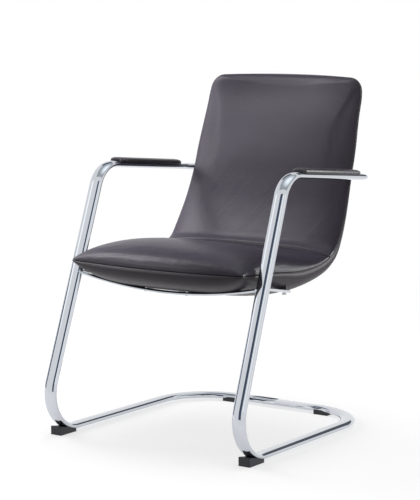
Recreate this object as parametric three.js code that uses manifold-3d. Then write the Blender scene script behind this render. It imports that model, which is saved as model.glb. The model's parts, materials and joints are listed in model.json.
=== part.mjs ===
// Sled base visitor chair: a chromed flat oval tube frame in two joined halves, a moulded seat and
// back shell with a leather outer cover, two leather cushions, arm pads, feet and their fixings.
// Units are millimetres. X runs across the chair, -Y is its front and +Z is up. The finished chair
// stands on z = 0 with its origin under the middle of its box.
import * as THREE from 'three';
import { mergeVertices } from 'three/addons/utils/BufferGeometryUtils.js';
import Module from 'manifold-3d';

const wasm = await Module();
wasm.setup();

// Sizes of the tube frame, measured along the middle of the tube
const tubeWidth = 37;
const tubeThickness = 17;
const tubeWall = 2;
const floorToTube = 4;
const legHalfSpacingAtFloor = 279.5;
const legHalfSpacingAtArm = 273;
const rearCornerHalfSpacing = 275.5;
const baseDepth = 647;
const legLean = 241;
const armHeightAtFront = 662;
const armDepth = 399;
const armDrop = 35.5;
const floorBendRadius = 95;
const topBendRadius = 70;
const rearCornerRadius = 150;
const armBendRadius = 58;
const jointSleeveLength = 90;
const jointSleeveWall = 1.5;

// Sizes of the seat and back, measured at their sewn edge
const seatFrontHeight = 436;
const seatDepth = 380;
const seatHalfWidth = 251;
const seatEdgeSag = 15.5;
const frontEdgeBow = 26;
const seatCrown = 57;
const bellyDepth = 68;
const creaseRise = 18;
const creaseBelly = 57;
const backHeight = 877;
const backSetback = 202;
const backHalfWidthAtTop = 226;
const backTopCornerRadius = 34;
const backTopBow = 26;
const backTopRise = 4;
const backFrontBulge = 17;
const backRearBulge = 13;
const crownNoseLength = 150;
const bellyNoseLength = 225;
const topRollLength = 22;
const edgeThickness = 3;
const coverThickness = 4;
const shellThickness = 10;
const shellInset = 14;
const creaseGap = 0.6;

// Sizes of what carries the seat
const crossbarWidth = 16;
const crossbarThickness = 8;
const crossbarDrop = 32.5;
const crossbarClearance = 2.4;
const railWidth = 18;
const railThickness = 6;
const railBoltSpacingShare = 0.91;
const railBoltSetback = 167;
const railBoltInset = 24;
const blockRise = 3.25;
const blockLength = 34;
const blockHeight = 30;
const blockWidth = 18;
const backBoltHalfSpacing = 95;
const frontBoltHalfSpacing = 60;
const backSpacerDiameter = 24;
const backSpacerLength = 2;

// Sizes of the arm pads
const padLength = 267;
const padWidth = 38.5;
const padLip = 4.5;
const padSide = 3.5;
const padCrown = 9.5;
const padFrontRounding = 4;
const padFrontEndShare = 0.86;
const padRearRounding = 20;
const padRearEndShare = 0.55;
const padSetback = 64;
const padPlateLength = 230;
const padPlateWidth = 18;
const padPlateThickness = 3;
const padScrewHalfSpacing = 80;

// Sizes of the feet
const frontFootLength = 61;
const frontFootWidth = 32;
const frontFootHeight = 22;
const frontFootSetback = 62;
const frontFootScrewInset = 14;
const rearFootLength = 41.5;
const rearFootHeight = 12;
const rearFootLip = 2.2;
const rearFootHalfSpacing = 142.5;

// Sizes of the fixings
const boltDiameter = 6;
const boltHeadDiameter = 11;
const boltHeadHeight = 3.3;
const boltTipDepth = 3.5;
const insertDiameter = 9;
const insertLength = 3;
const screwDiameter = 4;
const screwHeadDiameter = 7;
const screwHeadHeight = 1.6;
const screwTip = 2;
const soleRecess = 0.6;

// Clearances, and how far a cutter reaches past the face that it cuts
const seatGap = 0.3;
const holeClearance = 0.35;
const overrun = 4;

// Counts that set how finely round shapes are divided
const bendSteps = 9;
const ovalSegments = 16;
const roundSides = 12;
const crossbarSteps = 14;
const padArcSegments = 8;
const padEndSteps = 4;

const tubeCentreHeight = floorToTube + tubeThickness / 2;
const halfTubeWidth = tubeWidth / 2;
const halfTube = tubeThickness / 2;
const upward = new THREE.Vector3(0, 0, 1);
const sides = { left: -1, right: 1 };

// Colour, roughness and metalness of each finish
const finishes = {
  chrome: [0xc8ccd4, 0.08, 1],
  steel: [0x9a9da3, 0.35, 1],
  leather: [0x4b4650, 0.5, 0],
  padLeather: [0x2e2a2c, 0.45, 0],
  mouldedShell: [0x3a3a3c, 0.6, 0],
  blackPlastic: [0x1c1c1e, 0.55, 0],
};
const part = new THREE.Group();

function addPiece(name, geometry, finish) {
  const [color, roughness, metalness] = finishes[finish];
  const mesh = new THREE.Mesh(geometry, new THREE.MeshStandardMaterial({ color, roughness, metalness }));
  mesh.name = name;
  part.add(mesh);
  return mesh;
}

// Solids that join and cut
function bare(geometry) {
  const clean = geometry.clone();
  clean.deleteAttribute('normal');
  clean.deleteAttribute('uv');
  return mergeVertices(clean);
}

function toSolid(geometry) {
  const clean = bare(geometry);
  const vertProperties = new Float32Array(clean.attributes.position.array);
  return new wasm.Manifold(new wasm.Mesh({
    numProp: 3,
    vertProperties,
    triVerts: new Uint32Array(clean.index.array),
  }));
}

function toGeometry(solid) {
  const mesh = solid.getMesh();
  const geometry = new THREE.BufferGeometry();
  geometry.setAttribute('position', new THREE.BufferAttribute(mesh.vertProperties, 3));
  geometry.setIndex(new THREE.BufferAttribute(mesh.triVerts, 1));
  return geometry;
}

function cut(geometry, ...cutters) {
  let solid = toSolid(geometry);
  for (const cutter of cutters) solid = solid.subtract(toSolid(cutter));
  return toGeometry(solid);
}

function mirrored(geometry) {
  const copy = bare(geometry);
  copy.scale(-1, 1, 1);
  const order = copy.index.array;
  for (let i = 0; i < order.length; i += 3) {
    [order[i], order[i + 1]] = [order[i + 1], order[i]];
  }
  return copy;
}

function sided(geometry, side) {
  return side > 0 ? geometry : mirrored(geometry);
}

// A round bar, or a ring when it has a bore, from a base point along a direction
function roundBar(diameter, length, base, direction = upward, bore = 0) {
  const radius = diameter / 2;
  const inner = bore / 2;
  const outline = [
    new THREE.Vector2(inner, 0), new THREE.Vector2(radius, 0),
    new THREE.Vector2(radius, length), new THREE.Vector2(inner, length),
  ];
  if (bore > 0) outline.push(outline[0].clone());
  const bar = new THREE.LatheGeometry(outline, roundSides);
  const turn = new THREE.Quaternion().setFromUnitVectors(new THREE.Vector3(0, 1, 0), direction);
  bar.applyQuaternion(turn);
  bar.translate(base.x, base.y, base.z);
  return bar;
}

// A bolt or screw: its head starts at the base point and the shank follows along the direction
function fixing(diameter, headDiameter, headHeight, length, base, direction = upward) {
  const outline = [
    new THREE.Vector2(0, 0), new THREE.Vector2(headDiameter / 2, 0),
    new THREE.Vector2(headDiameter / 2, headHeight), new THREE.Vector2(diameter / 2, headHeight),
    new THREE.Vector2(diameter / 2, headHeight + length), new THREE.Vector2(0, headHeight + length),
  ];
  const body = new THREE.LatheGeometry(outline, roundSides);
  const turn = new THREE.Quaternion().setFromUnitVectors(new THREE.Vector3(0, 1, 0), direction);
  body.applyQuaternion(turn);
  body.translate(base.x, base.y, base.z);
  return body;
}

function block(width, depth, height, x, y, z) {
  const box = new THREE.BoxGeometry(width, depth, height);
  box.translate(x, y, z + height / 2);
  return box;
}

// A path of chosen stations, so that straight runs stay straight and bends are evenly divided
class StationPath extends THREE.Curve {
  constructor(points, tangents) {
    super();
    this.points = points;
    this.tangents = tangents;
  }

  get steps() {
    return this.points.length - 1;
  }

  getPointAt(share, target = new THREE.Vector3()) {
    return target.copy(this.points[Math.round(share * this.steps)]);
  }

  getTangentAt(share, target = new THREE.Vector3()) {
    return target.copy(this.tangents[Math.round(share * this.steps)]);
  }
}

// Straight runs between corner points, with an arc of the given radius at each inner corner
function bentPath(corners, radii) {
  const points = [corners[0].clone()];
  const tangents = [corners[1].clone().sub(corners[0]).normalize()];
  for (let i = 1; i < corners.length - 1; i += 1) {
    const arriving = corners[i].clone().sub(corners[i - 1]).normalize();
    const leaving = corners[i + 1].clone().sub(corners[i]).normalize();
    const turn = arriving.angleTo(leaving);
    const radius = radii[i - 1];
    const start = corners[i].clone().addScaledVector(arriving, -radius * Math.tan(turn / 2));
    const inward = leaving.clone().addScaledVector(arriving, -leaving.dot(arriving)).normalize();
    for (let step = 0; step <= bendSteps; step += 1) {
      const angle = (turn * step) / bendSteps;
      const along = Math.sin(angle) * radius;
      const across = (1 - Math.cos(angle)) * radius;
      points.push(start.clone().addScaledVector(arriving, along).addScaledVector(inward, across));
      tangents.push(arriving.clone().multiplyScalar(Math.cos(angle))
        .addScaledVector(inward, Math.sin(angle)));
    }
  }
  points.push(corners.at(-1).clone());
  tangents.push(corners.at(-1).clone().sub(corners.at(-2)).normalize());
  return new StationPath(points, tangents);
}

// A flat oval outline: thickness along its first axis and width along its second
function flatOval(width, thickness, PathKind = THREE.Shape) {
  const points = [];
  for (let i = 0; i < ovalSegments; i += 1) {
    const angle = (2 * Math.PI * i) / ovalSegments;
    points.push(new THREE.Vector2((thickness / 2) * Math.cos(angle), (width / 2) * Math.sin(angle)));
  }
  return new PathKind().setFromPoints(points);
}

// An outline turned a quarter: a sweep that starts on a slope lays its outline's first axis level
function quarterTurned(shape) {
  return new THREE.Shape(shape.getPoints().map((point) => new THREE.Vector2(point.y, -point.x)));
}

function sweep(shape, path) {
  return new THREE.ExtrudeGeometry(shape, { steps: path.steps, extrudePath: path, bevelEnabled: false });
}

// The right half of the frame runs from the middle of the rear floor bar to the middle of the arm bar
const armBarHeight = armHeightAtFront - armDrop;
const armBarY = legLean + armDepth;
const framePath = bentPath([
  new THREE.Vector3(0, baseDepth, tubeCentreHeight),
  new THREE.Vector3(rearCornerHalfSpacing, baseDepth, tubeCentreHeight),
  new THREE.Vector3(legHalfSpacingAtFloor, 0, tubeCentreHeight),
  new THREE.Vector3(legHalfSpacingAtArm, legLean, armHeightAtFront),
  new THREE.Vector3(legHalfSpacingAtArm, armBarY, armBarHeight),
  new THREE.Vector3(0, armBarY, armBarHeight),
], [rearCornerRadius, floorBendRadius, topBendRadius, armBendRadius]);

// The space that the frame takes up, with a clearance all round
function frameSpace(clearance) {
  return sweep(flatOval(tubeWidth + 2 * clearance, tubeThickness + 2 * clearance), framePath);
}
const frameClearance = frameSpace(seatGap);
const legRise = armHeightAtFront - tubeCentreHeight;
function legCentre(z) {
  const share = (z - tubeCentreHeight) / legRise;
  const x = THREE.MathUtils.lerp(legHalfSpacingAtFloor, legHalfSpacingAtArm, share);
  return new THREE.Vector3(x, legLean * share, z);
}
const armDirection = new THREE.Vector3(0, armDepth, -armDrop).normalize();
const armUp = new THREE.Vector3(0, armDrop, armDepth).normalize();
function onArm(along, above) {
  return new THREE.Vector3(legHalfSpacingAtArm, legLean, armHeightAtFront)
    .addScaledVector(armDirection, along).addScaledVector(armUp, above);
}

// The sewn edge of the seat and back. The seat's points are shares of its depth and of its edge sag,
// and the back's are shares of its setback and of its rise above the seat.
const seatEdgeShares = [[0, 0], [0.35, 0.45], [0.62, 1], [0.86, 0.8], [1, 0.06]];
const backEdgeShares = [
  [0.163, 0.035], [0.282, 0.102], [0.458, 0.24], [0.584, 0.381],
  [0.737, 0.595], [0.832, 0.7385], [0.934, 0.882], [1, 1],
];
const backRise = backHeight - backTopRise - seatFrontHeight;
const edgePoints = [
  ...seatEdgeShares.map(([depth, sag]) => (
    new THREE.Vector3(0, depth * seatDepth, seatFrontHeight - sag * seatEdgeSag))),
  ...backEdgeShares.map(([depth, rise]) => (
    new THREE.Vector3(0, seatDepth + depth * backSetback, seatFrontHeight + rise * backRise))),
];
const edgeCurve = new THREE.CatmullRomCurve3(edgePoints, false, 'centripetal');
const edgeLength = edgeCurve.getLength();

// The crease between seat and back, a share of the seat's depth behind the front edge
const creaseDepthShare = 1.027;
const creaseShare = (creaseDepthShare * seatDepth) / edgeLength;

// Places along the edge are shares: 0 to 1 from the front to the crease, and 1 to 2 up the back
function placeShareAt(share) {
  if (share <= creaseShare) return share / creaseShare;
  return 1 + (share - creaseShare) / (1 - creaseShare);
}
function edgeShareAt(placeShare) {
  if (placeShare <= 1) return placeShare * creaseShare;
  return creaseShare + (placeShare - 1) * (1 - creaseShare);
}

// A value that eases between the given stops, each a place along the edge and a value
function eased(placeShare, stops) {
  if (placeShare <= stops[0][0]) return stops[0][1];
  for (let i = 1; i < stops.length; i += 1) {
    const [end, value] = stops[i];
    const [start, before] = stops[i - 1];
    if (placeShare <= end) {
      return THREE.MathUtils.lerp(before, value, THREE.MathUtils.smoothstep(placeShare, start, end));
    }
  }
  return stops.at(-1)[1];
}

// A rounded rise from nothing at an edge to full size over a given length
function rounded(distance, length, fullness = 2) {
  const left = Math.max(0, 1 - distance / length);
  return (1 - left ** fullness) ** (1 / fullness);
}

// Sizes along the edge, each at the share of its place
const waistWidthShare = 0.955;
const shoulderWidthShare = 0.925;
const crownAtShares = [[0, seatCrown], [0.449, seatCrown], [1, creaseRise], [1.207, backFrontBulge]];
const bellyAtShares = [[0, bellyDepth], [0.449, bellyDepth], [0.944, creaseBelly], [1.351, backRearBulge]];
const widthAtShares = [[0, seatHalfWidth], [1.099, seatHalfWidth], [1.55, waistWidthShare * seatHalfWidth],
  [1.874, shoulderWidthShare * seatHalfWidth], [2, backHalfWidthAtTop]];
const topBowStartShare = 1.4955;
const flatBackShare = 1.279;

// How full the front nose is, and how sharply the crowns and the belly turn down at their sides
const noseFullness = 2.5;
const seatCrownPower = 3;
const backCrownPower = 7;
const bellyPower = 4;
const crownRounding = 0.42;
const bellyRoundingAtShares = [[0, 0.5], [0.449, 0.45], [0.719, 0.32]];

// One row across the seat or back: its place, its facing and its half sizes
function row(share) {
  const centre = edgeCurve.getPointAt(share);
  const tangent = edgeCurve.getTangentAt(share);
  const normal = new THREE.Vector3(0, -tangent.z, tangent.y);
  const fromFront = share * edgeLength;
  const fromTop = edgeLength - fromFront;
  const corner = Math.max(0, backTopCornerRadius - fromTop);
  const cornerInset = backTopCornerRadius - Math.sqrt(backTopCornerRadius ** 2 - corner ** 2);
  const front = Math.max(0, 1 - fromFront / crownNoseLength) ** 2;
  const placeShare = placeShareAt(share);
  const top = THREE.MathUtils.smoothstep(placeShare, topBowStartShare, 2);
  const topRoll = rounded(fromTop, topRollLength);
  const backness = THREE.MathUtils.smoothstep(placeShare, 1, flatBackShare);
  return {
    share,
    centre,
    normal,
    halfWidth: eased(placeShare, widthAtShares) - cornerInset,
    bow: new THREE.Vector3(0, top * backTopBow - front * frontEdgeBow, top * backTopRise),
    crown: eased(placeShare, crownAtShares) * topRoll * rounded(fromFront, crownNoseLength, noseFullness),
    belly: eased(placeShare, bellyAtShares) * topRoll * rounded(fromFront, bellyNoseLength, noseFullness),
    crownPower: THREE.MathUtils.lerp(seatCrownPower, backCrownPower, backness),
    bellyRounding: eased(placeShare, bellyRoundingAtShares),
  };
}

// How far the front and the outer surface stand off the edge's own surface at a place across a row
function frontOffset(across, r) {
  return edgeThickness / 2 + r.crown * (1 - Math.abs(across) ** r.crownPower) ** crownRounding;
}
function outerOffset(across, r) {
  return -edgeThickness / 2 - r.belly * (1 - Math.abs(across) ** bellyPower) ** r.bellyRounding;
}
function thicknessAt(across, r) {
  return frontOffset(across, r) - outerOffset(across, r);
}
const coverShareOfEdge = 0.3;
const shellShareOfFilling = 0.4;
function coverTop(across, r) {
  return outerOffset(across, r) + Math.min(coverThickness, coverShareOfEdge * thicknessAt(across, r));
}
function shellTop(across, r) {
  const filling = shellShareOfFilling * (frontOffset(across, r) - coverTop(across, r));
  return coverTop(across, r) + seatGap + Math.min(shellThickness, filling);
}
function onRow(across, r, offset) {
  const bend = 1 - across ** 2;
  return new THREE.Vector3(across * r.halfWidth, 0, 0).add(r.centre)
    .addScaledVector(r.bow, bend).addScaledVector(r.normal, offset);
}

// Places across a row and along the edge where the surfaces are divided
const acrossShares = [0, 0.17, 0.34, 0.5, 0.64, 0.77, 0.87];
const insetShare = 1 - shellInset / seatHalfWidth;
const acrossPlaces = [...acrossShares, insetShare, 1];
const acrossAll = [...acrossPlaces.slice(1).reverse().map((place) => -place), ...acrossPlaces];
const frontInsetShare = shellInset / edgeLength;
const rimRowShare = frontInsetShare / 3;
const creaseHalfGapShare = creaseGap / 2 / edgeLength;
const seatPlaceShares = [0.067, 0.112, 0.191, 0.292, 0.404, 0.517, 0.629, 0.742, 0.831, 0.921];
const backPlaceShares = [1.054, 1.117, 1.189, 1.279, 1.387, 1.495, 1.622, 1.748, 1.856, 1.928];
const seatRowShares = [0, rimRowShare, frontInsetShare, ...seatPlaceShares.map(edgeShareAt),
  creaseShare - creaseHalfGapShare];
const backRowShares = [creaseShare + creaseHalfGapShare, ...backPlaceShares.map(edgeShareAt),
  1 - frontInsetShare, 1 - rimRowShare, 1];

// A closed layer over rows and places across, between two offsets from the edge's surface
function layer(rowShares, places, lower, upper) {
  const rows = rowShares.map(row);
  const positions = [];
  for (const offset of [lower, upper]) {
    for (const r of rows) {
      for (const across of places) positions.push(...onRow(across, r, offset(across, r)).toArray());
    }
  }
  const columns = places.length;
  const layerSize = rows.length * columns;
  const at = (level, i, j) => level * layerSize + i * columns + j;
  const index = [];
  const quad = (a, b, c, d) => index.push(a, b, c, a, c, d);
  for (let i = 0; i < rows.length - 1; i += 1) {
    for (let j = 0; j < columns - 1; j += 1) {
      const above = [at(1, i, j), at(1, i, j + 1), at(1, i + 1, j + 1), at(1, i + 1, j)];
      const below = [at(0, i, j), at(0, i + 1, j), at(0, i + 1, j + 1), at(0, i, j + 1)];
      const leftHalf = places[j] + places[j + 1] < 0;
      for (const face of [above, below]) {
        if (leftHalf) face.push(face.shift());
        quad(...face);
      }
    }
    const last = columns - 1;
    quad(at(0, i, last), at(0, i + 1, last), at(1, i + 1, last), at(1, i, last));
    quad(at(0, i, 0), at(1, i, 0), at(1, i + 1, 0), at(0, i + 1, 0));
  }
  for (let j = 0; j < columns - 1; j += 1) {
    const last = rows.length - 1;
    quad(at(0, 0, j), at(0, 0, j + 1), at(1, 0, j + 1), at(1, 0, j));
    quad(at(0, last, j), at(1, last, j), at(1, last, j + 1), at(0, last, j + 1));
  }
  const geometry = new THREE.BufferGeometry();
  geometry.setAttribute('position', new THREE.Float32BufferAttribute(positions, 3));
  geometry.setIndex(index);
  return geometry;
}

// The moulded shell stops short of the sewn edge, and the cushions lie on it and on the cover's rim
const allRows = [...seatRowShares, ...backRowShares];
const shellRows = allRows.slice(2, -2);
const shellPlaces = acrossAll.slice(1, -1);
function cushionUnderside(across, r) {
  const nearSide = Math.abs(across) > insetShare;
  const nearEdge = nearSide || r.share < frontInsetShare || r.share > 1 - frontInsetShare;
  return seatGap + (nearEdge ? coverTop(across, r) : shellTop(across, r));
}
const shellUnderside = (across, r) => coverTop(across, r) + seatGap;
const shellForms = {
  outer_cover: layer(allRows, acrossAll, outerOffset, coverTop),
  moulded_shell: layer(shellRows, shellPlaces, shellUnderside, shellTop),
  seat_cushion: layer(seatRowShares, acrossAll, cushionUnderside, frontOffset),
  back_cushion: layer(backRowShares, acrossAll, cushionUnderside, frontOffset),
};
const shellSpace = layer(allRows, acrossAll, (across, r) => outerOffset(across, r) - seatGap, frontOffset);

// Where a line meets a piece's facets: the nearest hit, or the one after it
function meets(geometry, origin, direction, hit = 0) {
  const probe = new THREE.Mesh(geometry, new THREE.MeshBasicMaterial({ side: THREE.DoubleSide }));
  const found = new THREE.Raycaster(origin, direction).intersectObject(probe);
  return found[hit].point;
}

// The seat and back stand in front of the arm bar by a spacer's length
const forward = new THREE.Vector3(0, -1, 0);
const farBehind = 2 * backHeight;
const rearAtBar = meets(shellForms.outer_cover, new THREE.Vector3(0, farBehind, armBarHeight), forward);
const seatPlaceY = armBarY - halfTubeWidth - seatGap - backSpacerLength - rearAtBar.y;
for (const form of [...Object.values(shellForms), shellSpace]) form.translate(0, seatPlaceY, 0);

// What carries the seat: a bowed crossbar between the legs, and a rail and a block behind each leg
const crossbarHeightAtLeg = seatFrontHeight - crossbarDrop;
const seatSupportStart = legCentre(crossbarHeightAtLeg);
const frameBothSides = [frameClearance, mirrored(frameClearance)];
const backward = armDirection.clone().negate();

function seatUnderside(x, y) {
  return meets(shellForms.outer_cover, new THREE.Vector3(x, y, 0), upward).z;
}

// The crossbar bows down just clear of the seat's underside
const crossbarTopAtMiddle = seatUnderside(0, seatSupportStart.y) - crossbarClearance;
const crossbarSag = crossbarHeightAtLeg - (crossbarTopAtMiddle - crossbarThickness / 2);
function crossbarHeight(x) {
  return crossbarHeightAtLeg - crossbarSag * (1 - (x / seatSupportStart.x) ** 2);
}

function makeCrossbar() {
  const points = [];
  const tangents = [];
  const end = seatSupportStart.x - halfTubeWidth + halfTube / 2;
  for (let i = 0; i <= crossbarSteps; i += 1) {
    const x = end * ((2 * i) / crossbarSteps - 1);
    points.push(new THREE.Vector3(x, seatSupportStart.y, crossbarHeight(x)));
    tangents.push(new THREE.Vector3(seatSupportStart.x ** 2, 0, 2 * crossbarSag * x).normalize());
  }
  return sweep(quarterTurned(flatOval(crossbarWidth, crossbarThickness)), new StationPath(points, tangents));
}

// Each rail runs from the middle of its leg to a bolt below the seat's side, and a little past it
const railBoltX = railBoltSpacingShare * seatHalfWidth;
const railBoltY = seatSupportStart.y + railBoltSetback;
const railBoltZ = seatUnderside(railBoltX, railBoltY) - blockRise - railThickness / 2;
const railBoltPlace = new THREE.Vector3(railBoltX, railBoltY, railBoltZ);
const railDirection = railBoltPlace.clone().sub(seatSupportStart).normalize();
const railEnd = railBoltPlace.clone().addScaledVector(railDirection, railBoltInset);

// A box in the rail's own directions: across it, square to its top, and along it
function alongRail(width, height, length, middle, above) {
  const across = new THREE.Vector3().crossVectors(upward, railDirection).normalize();
  const square = new THREE.Vector3().crossVectors(railDirection, across);
  const box = new THREE.BoxGeometry(width, height, length);
  box.translate(0, above + height / 2, 0);
  return box.applyMatrix4(new THREE.Matrix4().makeBasis(across, square, railDirection).setPosition(middle));
}

function makeRail() {
  const middle = seatSupportStart.clone().add(railEnd).divideScalar(2);
  const length = seatSupportStart.distanceTo(railEnd);
  return alongRail(railWidth, railThickness, length, middle, -railThickness / 2);
}

// The bolts that hold the seat and back: where each one's axis runs, and how far the face under its
// head lies from there. The crossbar has a recess for its heads.
const headRecess = boltHeadHeight + 2 * seatGap;
const seatBolts = {};
const frontBoltHeight = crossbarHeight(frontBoltHalfSpacing);
for (const [name, side] of Object.entries(sides)) {
  seatBolts[`front_${name}`] = {
    place: new THREE.Vector3(side * frontBoltHalfSpacing, seatSupportStart.y, frontBoltHeight),
    direction: upward,
    halfGrip: crossbarThickness / 2 - headRecess,
  };
  seatBolts[`rear_${name}`] = {
    place: new THREE.Vector3(side * railBoltPlace.x, railBoltPlace.y, railBoltPlace.z),
    direction: upward,
    halfGrip: railThickness / 2,
  };
  seatBolts[`back_${name}`] = {
    place: new THREE.Vector3(side * backBoltHalfSpacing, armBarY, armBarHeight),
    direction: backward,
    halfGrip: tubeWidth / 2,
  };
}

function boltHole(bolt, diameter = boltDiameter + 2 * holeClearance) {
  const start = bolt.place.clone().addScaledVector(bolt.direction, -bolt.halfGrip - overrun);
  return roundBar(diameter, boltLength(bolt) + bolt.halfGrip + overrun, start, bolt.direction);
}

function headHole(bolt) {
  const start = bolt.place.clone().addScaledVector(bolt.direction, -crossbarThickness / 2 - overrun);
  return roundBar(boltHeadDiameter + 2 * holeClearance, overrun + headRecess, start, bolt.direction);
}

// From the middle of what a bolt clamps to just short of the moulded shell's far face
function boltLength(bolt) {
  return meets(shellForms.moulded_shell, bolt.place, bolt.direction, 1).distanceTo(bolt.place) - boltTipDepth;
}

function makeBolt(bolt, slack) {
  const headUnder = bolt.halfGrip + seatGap + slack;
  const base = bolt.place.clone().addScaledVector(bolt.direction, -headUnder - boltHeadHeight);
  const length = headUnder + boltLength(bolt);
  return fixing(boltDiameter, boltHeadDiameter, boltHeadHeight, length, base, bolt.direction);
}

function makeInsert(bolt) {
  const end = bolt.place.clone().addScaledVector(bolt.direction, boltLength(bolt) - insertLength);
  return roundBar(insertDiameter, insertLength, end, bolt.direction, boltDiameter + 2 * seatGap);
}

function insertPocket(bolt) {
  const start = bolt.place.clone();
  const length = boltLength(bolt) + overrun;
  return roundBar(insertDiameter + 2 * seatGap, length, start, bolt.direction);
}

const allBolts = Object.values(seatBolts);
const rightBolts = (kind) => seatBolts[`${kind}_right`];
const rightRail = cut(makeRail(), frameClearance, shellSpace, boltHole(rightBolts('rear')));
const railSlope = railDirection.z / Math.hypot(railDirection.x, railDirection.y);
const railHeadSlack = Math.abs(railSlope) * (boltHeadDiameter / 2) + seatGap;
const boltSlack = (name) => (name.startsWith('rear') ? railHeadSlack : seatGap);

function makeBlock() {
  const body = alongRail(blockWidth, blockHeight, blockLength, railBoltPlace, railThickness / 2 + seatGap);
  return cut(body, shellSpace, boltHole(rightBolts('rear')));
}

function makeBackSpacer() {
  const bolt = rightBolts('back');
  const start = bolt.place.clone().addScaledVector(bolt.direction, bolt.halfGrip - halfTube / 2);
  const length = halfTube + backSpacerLength + coverThickness;
  const spacer = roundBar(backSpacerDiameter, length, start, bolt.direction);
  return cut(spacer, frameClearance, shellSpace, boltHole(bolt));
}

const coverWithHoles = cut(shellForms.outer_cover, ...allBolts.map((bolt) => boltHole(bolt)));
const shellWithPockets = cut(shellForms.moulded_shell, ...allBolts.map(insertPocket));
const frontBolts = [seatBolts.front_left, seatBolts.front_right];
const crossbar = cut(makeCrossbar(), ...frameBothSides, shellSpace,
  ...frontBolts.map((bolt) => boltHole(bolt)), ...frontBolts.map(headHole));

// Arm pads: a plate on each arm, with a padded leather body over it that laps the tube's shoulders
const padMiddle = padSetback + padLength / 2;
const padFrame = new THREE.Matrix4()
  .makeBasis(new THREE.Vector3(1, 0, 0), armDirection, armUp)
  .setPosition(onArm(padMiddle, halfTube));

// One ring of the pad's outline, drawn in towards its ends by the given share
function padRing(along, size) {
  const half = (padWidth / 2) * size;
  const ring = [new THREE.Vector3(half, along, -padLip), new THREE.Vector3(-half, along, -padLip)];
  for (let i = 0; i <= padArcSegments; i += 1) {
    const angle = Math.PI * (1 - i / padArcSegments);
    const height = size * (padSide + (padCrown - padSide) * Math.sin(angle));
    ring.push(new THREE.Vector3(half * Math.cos(angle), along, height));
  }
  return ring;
}

function padRings() {
  const rings = [];
  for (let i = 0; i <= padEndSteps; i += 1) {
    const distance = (padFrontRounding * i ** 2) / padEndSteps ** 2;
    const size = THREE.MathUtils.lerp(padFrontEndShare, 1, rounded(distance, padFrontRounding));
    rings.push(padRing(distance - padLength / 2, size));
  }
  for (let i = padEndSteps; i >= 0; i -= 1) {
    const distance = (padRearRounding * i ** 2) / padEndSteps ** 2;
    const size = THREE.MathUtils.lerp(padRearEndShare, 1, rounded(distance, padRearRounding));
    rings.push(padRing(padLength / 2 - distance, size));
  }
  return rings;
}

// A closed skin over rings of points, each ring in the same order
function loft(rings) {
  const size = rings[0].length;
  const points = rings.flat();
  const index = [];
  for (let i = 0; i < rings.length - 1; i += 1) {
    for (let j = 0; j < size; j += 1) {
      const a = i * size + j;
      const b = i * size + ((j + 1) % size);
      index.push(a, b, b + size, a, b + size, a + size);
    }
  }
  const last = points.length - size;
  for (let j = 1; j < size - 1; j += 1) {
    index.push(0, j + 1, j);
    index.push(last, last + j, last + j + 1);
  }
  const geometry = new THREE.BufferGeometry().setFromPoints(points);
  geometry.setIndex(index);
  return geometry;
}

function padPlate(clearance) {
  const plate = new THREE.BoxGeometry(padPlateWidth + 2 * clearance, padPlateLength + 2 * clearance,
    padPlateThickness + 2 * clearance);
  plate.translate(0, 0, seatGap + padPlateThickness / 2);
  return plate.applyMatrix4(padFrame);
}

const padScrewPlaces = { front: padMiddle - padScrewHalfSpacing, rear: padMiddle + padScrewHalfSpacing };
const padScrewGrip = tubeWall + 2 * seatGap + padPlateThickness;

// The head sits inside the tube under its upper wall, and goes in through a hole in the lower wall
function padScrewBase(place) {
  return onArm(padScrewPlaces[place], halfTube - tubeWall - seatGap);
}
function padScrewAccess(place) {
  const start = onArm(padScrewPlaces[place], -halfTube - overrun);
  return roundBar(screwHeadDiameter + 2 * holeClearance, overrun + halfTube, start, armUp);
}
function padScrewHole(place) {
  const start = padScrewBase(place).addScaledVector(armUp, -overrun);
  return roundBar(screwDiameter + 2 * holeClearance, overrun + padScrewGrip + seatGap, start, armUp);
}
const padScrewHoles = Object.keys(padScrewPlaces).map(padScrewHole);
const padAccessHoles = Object.keys(padScrewPlaces).map(padScrewAccess);

function makePad() {
  return cut(loft(padRings()).applyMatrix4(padFrame), frameClearance, padPlate(seatGap));
}

function makePadScrew(place) {
  const base = padScrewBase(place).addScaledVector(armUp, -screwHeadHeight);
  return fixing(screwDiameter, screwHeadDiameter, screwHeadHeight, padScrewGrip, base, armUp);
}

// Feet: wedges under the front floor bends and saddles under the rear floor bar, each with a screw
const frontFootX = legHalfSpacingAtFloor;
const frontFootRear = frontFootSetback + frontFootLength;
const frontFootScrew = new THREE.Vector3(frontFootX, frontFootRear - frontFootScrewInset, 0);
const rearFootScrew = new THREE.Vector3(rearFootHalfSpacing, baseDepth, 0);

function tubeUnderside(place) {
  return meets(frameClearance, place, upward).z + seatGap;
}

function footScrewHoles(place) {
  const headSpace = screwHeadDiameter + 2 * holeClearance;
  const below = new THREE.Vector3(place.x, place.y, -overrun);
  const recess = soleRecess + screwHeadHeight + seatGap;
  return [
    roundBar(headSpace, recess + overrun, below),
    roundBar(screwDiameter + 2 * holeClearance, tubeCentreHeight + overrun, below),
  ];
}

function makeFrontFoot() {
  const profile = new THREE.Shape([
    new THREE.Vector2(frontFootSetback, 0),
    new THREE.Vector2(frontFootRear, 0),
    new THREE.Vector2(frontFootRear, tubeCentreHeight),
    new THREE.Vector2(frontFootSetback, frontFootHeight),
  ]);
  const wedge = new THREE.ExtrudeGeometry(profile, { depth: frontFootWidth, bevelEnabled: false });
  wedge.applyMatrix4(new THREE.Matrix4().makeBasis(
    new THREE.Vector3(0, 1, 0),
    new THREE.Vector3(0, 0, 1),
    new THREE.Vector3(1, 0, 0),
  ));
  wedge.translate(frontFootX - frontFootWidth / 2, 0, 0);
  return cut(wedge, frameClearance, ...footScrewHoles(frontFootScrew));
}

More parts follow.
